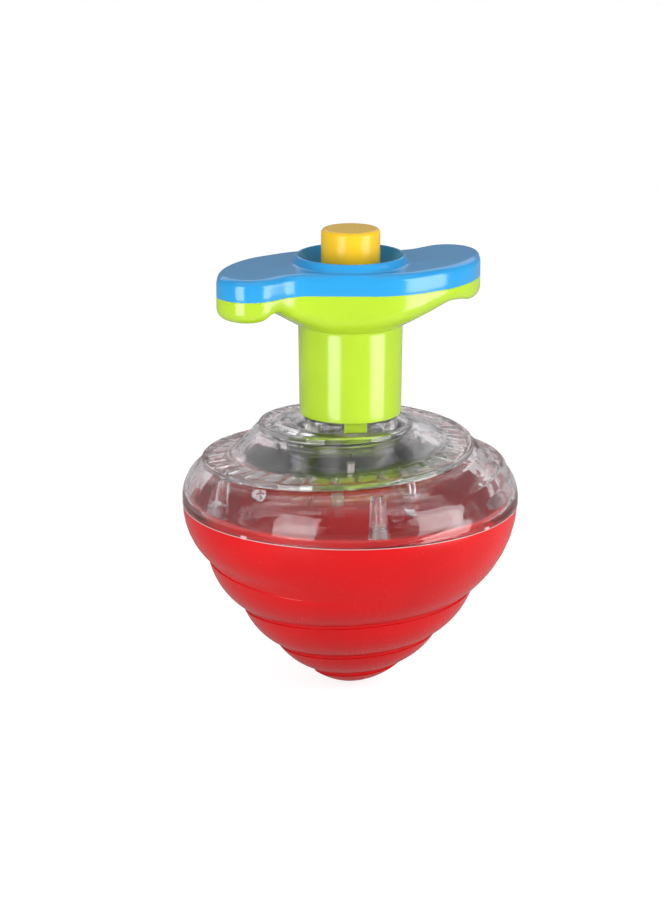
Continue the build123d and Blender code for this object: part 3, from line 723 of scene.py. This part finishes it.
class SPINTOP_OT_weld(bpy.types.Operator):
    """Model the fine bead where dome and cone are welded, with its two small tabs; bead and tabs are coloured
    pale pink as a painted highlight line along the seam
    """

    bl_idname = "spintop.weld"
    bl_label = "Seam Bead"

    def execute(self, context):
        sizes = context.scene.spintop_sizes
        radius, height, bead = sizes.seam_radius, sizes.seam_height, 0.09
        shape = bmesh.new()
        ring = [(radius + bead * cos(step * pi / 6), height + bead * sin(step * pi / 6))
                for step in range(13)]
        lathe(shape, ring, CONE_ROWS)
        for degrees_round in (-128.0, -38.0):
            tab = bmesh.new()
            bmesh.ops.create_cube(tab, size=1.0)
            bmesh.ops.scale(tab, vec=(0.5, 1.5, 0.7), verts=tab.verts)
            bmesh.ops.bevel(tab, geom=tab.edges[:], affect="EDGES", offset=0.15, offset_type="OFFSET",
                            segments=3, profile=0.5, material=-1)
            bmesh.ops.translate(tab, vec=(radius - 0.12, 0, height + 0.2), verts=tab.verts)
            bmesh.ops.rotate(tab, cent=(0, 0, 0), matrix=Matrix.Rotation(radians(degrees_round), 3, "Z"),
                             verts=tab.verts)
            join(shape, tab)
        close_up(shape, 0.0005)
        # pale pink finish: a painted highlight for the bright line along the seam; the bead it sits on is
        # real geometry
        weld = moulded("seam_highlight_moulding", (0.72, 0.40, 0.41), gloss=0.2, coat=0.3)
        settle("seam_bead", shape, weld, "top")
        return {"FINISHED"}


class SPINTOP_OT_grip(bpy.types.Operator):
    """Model the launcher's lime body and blue cover from their shared outline"""

    bl_idname = "spintop.grip"
    bl_label = "Launcher Shells"

    def execute(self, context):
        sizes = context.scene.launcher_sizes
        colours = context.scene.spintop_colours
        lime = moulded("lime_moulding", colours.lime)
        blue = moulded("blue_moulding", colours.blue)
        self.body(sizes, lime)
        self.cover(sizes, blue)
        return {"FINISHED"}

    @staticmethod
    def angles_of(ring):
        """Angles of a ring's points about the axis, made to turn one way only."""
        angles = [atan2(point.y, point.x) for point in ring]
        for index in range(1, len(angles)):
            while angles[index] - angles[index - 1] > pi:
                angles[index] -= TURN
            while angles[index] - angles[index - 1] < -pi:
                angles[index] += TURN
        way = 1 if angles[-1] > angles[0] else -1
        least = radians(0.12)
        low, high = list(angles), list(angles)
        for index in range(1, len(angles)):
            low[index] = way * max(way * low[index], way * low[index - 1] + least)
        for index in range(len(angles) - 2, -1, -1):
            high[index] = way * min(way * high[index], way * high[index + 1] - least)
        return [(a + b) / 2 for a, b in zip(low, high)]

    def body(self, sizes, lime):
        split, round_off = sizes.split_height, sizes.under_radius
        outer, inset = inner_ring(split, round_off)
        _, cavity = inner_ring(split, SHELL_WALL)
        angles = self.angles_of(inset)
        shape = bmesh.new()
        face = grip_face(shape, split)
        rings = []

        def circle(radius, height):
            return [Vector((radius * cos(a), radius * sin(a), height)) for a in angles]

        base = [flare_height(hypot(p.x, p.y)) for p in outer]
        rings.append([Vector((p.x, p.y, split)) for p in outer])
        rings.append([Vector((*blend(o.xy, i.xy, 0.03), split - 0.12)) for o, i in zip(outer, inset)])
        rings.append([Vector((p.x, p.y, split - 0.25)) for p in outer])
        rings.append([Vector((p.x, p.y, split - 0.2 + 0.66 * (b + round_off - split + 0.2)))
                      for p, b in zip(outer, base)])
        for step in range(9):
            bend = step * pi / 16
            ring = []
            for o, i in zip(outer, inset):
                spot = blend(o.xy, i.xy, 1 - cos(bend))
                ring.append(Vector((*spot, flare_height(hypot(*spot)) + round_off * (1 - sin(bend)))))
            rings.append(ring)
        under = circle(BARREL_HIGH + 0.12, 0)
        for step in range(1, 25):
            ring = []
            for i, c in zip(inset, under):
                spot = blend(i.xy, c.xy, step / 24)
                ring.append(Vector((*spot, flare_height(hypot(*spot)))))
            rings.append(ring)
        low = BARREL_LOW
        tall = [(BARREL_HIGH, FLARE_BASE - 0.15), (BARREL_HIGH - 0.005, FLARE_BASE - 0.6), (10.62, 68.0),
                (low + 0.02, 60.0), (low, 59.35), (low - 0.08, 59.12), (low - 0.3, 59.0), (9.5, 59.0),
                (9.32, 59.1), (9.3, 59.4), (9.3, 77.0), (4.05, 77.0), (4.05, 79.6), (11.8, 79.6),
                (11.8, 84.6)]
        rings += [circle(*spot) for spot in tall]
        rings.append([Vector((p.x, p.y, 84.6)) for p in cavity])
        rings.append([Vector((p.x, p.y, split)) for p in cavity])
        self.wrap(shape, face, rings)
        settle("launcher_body", shape, lime, "launcher", ["handle_body"], 30.0)

    def cover(self, sizes, blue):
        split, top, round_off = sizes.split_height, sizes.cover_top, sizes.upper_radius
        outer, inset = inner_ring(split, round_off)
        _, cavity = inner_ring(split, SHELL_WALL)
        angles = self.angles_of(inset)
        shape = bmesh.new()
        face = grip_face(shape, split)
        foot = 12.35

        def circle(radius, height):
            return [Vector((radius * cos(a), radius * sin(a), height)) for a in angles]

        near = []
        for o, i in zip(outer, inset):
            reach, limit = hypot(i.x, i.y), foot + 0.12
            near.append(Vector(i) if reach > limit else Vector((i.x * limit / reach, i.y * limit / reach, 0)))
        rings = [[Vector((p.x, p.y, split)) for p in outer],
                 [Vector((*blend(o.xy, i.xy, 0.03), split + 0.12)) for o, i in zip(outer, inset)],
                 [Vector((p.x, p.y, split + 0.25)) for p in outer],
                 [Vector((p.x, p.y, split + 1.3)) for p in outer]]
        for step in range(11):
            bend = step * pi / 20
            rings.append([Vector((*blend(o.xy, n.xy, 1 - cos(bend)), top - round_off * (1 - sin(bend))))
                          for o, n in zip(outer, near)])
        base = circle(foot, 0)
        for step in range(1, 13):
            rings.append([Vector((*blend(n.xy, c.xy, step / 12), top + 0.02 * step / 12))
                          for n, c in zip(near, base)])
        cup = [(12.05, top + 0.08), (11.85, top + 0.25), (11.7, top + 0.5), (11.45, top + 1.1),
               (11.25, top + 1.5), (11.1, top + 1.64), (10.95, top + 1.7), (10.8, top + 1.64),
               (10.68, top + 1.5), (9.4, 90.0), (8.9, 89.2), (8.6, 89.0), (8.2, 88.95), (6.6, 88.95),
               (6.4, 88.85), (6.35, 88.6), (6.35, 88.0), (11.0, 88.0)]
        rings += [circle(*spot) for spot in cup]
        rings.append([Vector((p.x, p.y, 88.0)) for p in cavity])
        rings.append([Vector((p.x, p.y, split)) for p in cavity])
        self.wrap(shape, face, rings)
        settle("launcher_cover", shape, blue, "launcher", ["handle_cover"], 30.0)

    @staticmethod
    def wrap(shape, face, rings):
        """Carries the outline's face through all rings and closes the shell on its first ring."""
        for ring in rings[1:] + rings[:1]:
            push(shape, face, lambda index, old, ring=ring: ring[index])
        bmesh.ops.delete(shape, geom=[face], context="FACES_ONLY")
        close_up(shape, 0.0015)


class SPINTOP_OT_works(bpy.types.Operator):
    """Give the carried-over pieces of the launcher and the top their real finishes"""

    bl_idname = "spintop.works"
    bl_label = "Carried-over Pieces"

    def execute(self, context):
        colours = context.scene.spintop_colours
        steel = plated("spring_wire", (0.62, 0.62, 0.64), 0.22)
        screw = plated("screw_plate", (0.70, 0.68, 0.64), 0.3)
        brass = plated("brass_contact", (0.83, 0.62, 0.28), 0.25)
        nickel = plated("cell_nickel", (0.74, 0.73, 0.72), 0.18, (300, 300, 300))
        lime = bpy.data.materials["lime_moulding"]
        red = bpy.data.materials["red_moulding"]
        ivory = moulded("ivory_moulding", (0.78, 0.75, 0.66), 0.3, 0.1)
        dark = moulded("black_moulding", (0.012, 0.012, 0.013), 0.12, 0.5)
        orange = moulded("orange_moulding", (0.9, 0.28, 0.03), 0.25, 0.1)
        ceramic = moulded("ceramic_body", (0.26, 0.19, 0.14), 0.4, 0.0)
        resin = moulded("black_resin", (0.01, 0.01, 0.012), 0.35, 0.1)
        cover = moulded("wire_skin", (0.55, 0.02, 0.02), 0.35, 0.0)
        button = moulded("yellow_moulding", colours.yellow, gloss=0.24, coat=0.05, level=0.35)
        lens = clear_moulded("clear_lens", (0.97, 0.97, 0.97), milk=0.05, rough=0.06, index=1.5)
        lacquer = board_lacquer("board_lacquer")
        for material, nodes in (
                (button, ["push_button"]), (lime, ["drive_rotor"]), (red, ["battery_box"]),
                (ivory, ["rotor_bush", "ratchet_wheel", "bridge_plate", "switch_frame"]),
                (dark, ["centre_housing"]), (orange, ["ratchet_pawl"]), (ceramic, ["capacitor"]),
                (resin, ["control_chip"]), (cover, ["lead_wire"]), (lens, ["leds"]),
                (lacquer, ["circuit_board"]),
                (steel, ["button_spring", "wind_spring", "battery_spring", "switch_spring", "push_rod",
                         "pawl_pin", "rotor_clip", "led_legs"]),
                (screw, ["handle_screws", "board_screws"]), (brass, ["battery_plate", "switch_weight"]),
                (nickel, ["battery_cells"])):
            for node in nodes:
                repaint(node, material)
        return {"FINISHED"}


class SPINTOP_OT_stage(bpy.types.Operator):
    """Lay the floor and place the lights and the camera"""

    bl_idname = "spintop.stage"
    bl_label = "Stage"

    def execute(self, context):
        scene = context.scene
        shape = bmesh.new()
        bmesh.ops.create_grid(shape, x_segments=1, y_segments=1, size=4.0)
        mesh = bpy.data.meshes.new("floor")
        shape.to_mesh(mesh)
        shape.free()
        floor = bpy.data.objects.new("floor", mesh)
        scene.collection.objects.link(floor)
        finish = Finish("floor_paint")
        grain = finish.noise(30, 2.0)
        path = finish.node("LightPath", {}, {})
        seen = Wire(finish, path.outputs["Is Camera Ray"]) + Wire(finish, path.outputs["Is Transmission Ray"])
        mesh.materials.append(finish.surface(
            Base_Color=finish.tint(grain, (0.34, 0.34, 0.34, 1), (0.36, 0.36, 0.36, 1)), Roughness=0.9,
            Emission_Color=finish.tint(seen, (0.22, 0.21, 0.21, 1), (1, 1, 1, 1)), Emission_Strength=0.82,
            Specular_IOR_Level=0.1))

        world = bpy.data.worlds.new("room")
        world.use_nodes = True
        world.node_tree.nodes["Background"].inputs[0].default_value = (0.96, 0.97, 1.0, 1.0)
        tree = world.node_tree
        ray = tree.nodes.new("ShaderNodeLightPath")
        either = tree.nodes.new("ShaderNodeMath")
        either.operation = "ADD"
        share = tree.nodes.new("ShaderNodeMapRange")
        share.inputs["To Min"].default_value, share.inputs["To Max"].default_value = 0.28, 0.9
        tree.links.new(ray.outputs["Is Camera Ray"], either.inputs[0])
        tree.links.new(ray.outputs["Is Transmission Ray"], either.inputs[1])
        tree.links.new(either.outputs[0], share.inputs["Value"])
        tree.links.new(share.outputs[0], tree.nodes["Background"].inputs[1])
        scene.world = world
        # each row: name, place, aim, width, height, watts
        for name, place, aim, width, height, watts in (
                ("left_panel", (-0.100, -0.140, 0.088), (0, 0, 0.070), 0.085, 0.17, 0.26),
                ("right_panel", (0.155, -0.085, 0.088), (0, 0, 0.070), 0.115, 0.17, 0.34),
                ("top_panel", (0.0, -0.10, 0.75), (0, 0, 0.05), 0.9, 0.7, 1.1),
                ("back_panel", (0.0, 0.95, 0.75), (0, 0.3, 0.0), 1.6, 0.8, 3.2)):
            light = bpy.data.lights.new(name, "AREA")
            light.shape, light.size, light.size_y, light.energy = "RECTANGLE", width, height, watts
            lamp = bpy.data.objects.new(name, light)
            lamp.location = place
            lamp.rotation_euler = (Vector(aim) - Vector(place)).to_track_quat("-Z", "Y").to_euler()
            lamp.visible_camera = False
            scene.collection.objects.link(lamp)

        lens = bpy.data.cameras.new("camera")
        lens.sensor_fit, lens.sensor_width, lens.lens = "HORIZONTAL", 36.0, 160.0
        lens.clip_start = 0.01
        camera = bpy.data.objects.new("camera", lens)
        camera.location = (-0.0042, -0.587, 0.216)
        camera.rotation_euler = (radians(90 - 15.73), 0, 0)
        scene.collection.objects.link(camera)
        scene.camera = camera
        scene.view_settings.view_transform = "Standard"
        return {"FINISHED"}


class SPINTOP_PT_panel(bpy.types.Panel):
    """Lists the operators in the sidebar"""

    bl_label = "Spinning Top"
    bl_idname = "SPINTOP_PT_panel"
    bl_space_type = "VIEW_3D"
    bl_region_type = "UI"
    bl_category = "Spinning Top"

    def draw(self, context):
        for group in (context.scene.spintop_sizes, context.scene.launcher_sizes,
                      context.scene.spintop_colours):
            for key in type(group).__annotations__:
                self.layout.prop(group, key)
        for operator in OPERATORS:
            self.layout.operator(operator.bl_idname)


OPERATORS = (SPINTOP_OT_cone, SPINTOP_OT_dome, SPINTOP_OT_weld, SPINTOP_OT_grip, SPINTOP_OT_works,
             SPINTOP_OT_stage)
GROUPS = (("spintop_sizes", TopSizes), ("launcher_sizes", LauncherSizes), ("spintop_colours", PartColours))


def register():
    """Registers the classes and hangs the settings on the scene."""
    for name, group in GROUPS:
        bpy.utils.register_class(group)
        setattr(bpy.types.Scene, name, PointerProperty(type=group))
    for item in (*OPERATORS, SPINTOP_PT_panel):
        bpy.utils.register_class(item)


def unregister():
    """Takes all of it away again."""
    for item in (SPINTOP_PT_panel, *OPERATORS):
        bpy.utils.unregister_class(item)
    for name, group in GROUPS:
        delattr(bpy.types.Scene, name)
        bpy.utils.unregister_class(group)


def main():
    """Builds every piece in order."""
    register()
    bpy.ops.spintop.cone()
    bpy.ops.spintop.dome()
    bpy.ops.spintop.weld()
    bpy.ops.spintop.grip()
    bpy.ops.spintop.works()
    bpy.ops.spintop.stage()
    bpy.context.view_layer.update()


if __name__ == "__main__":
    main()
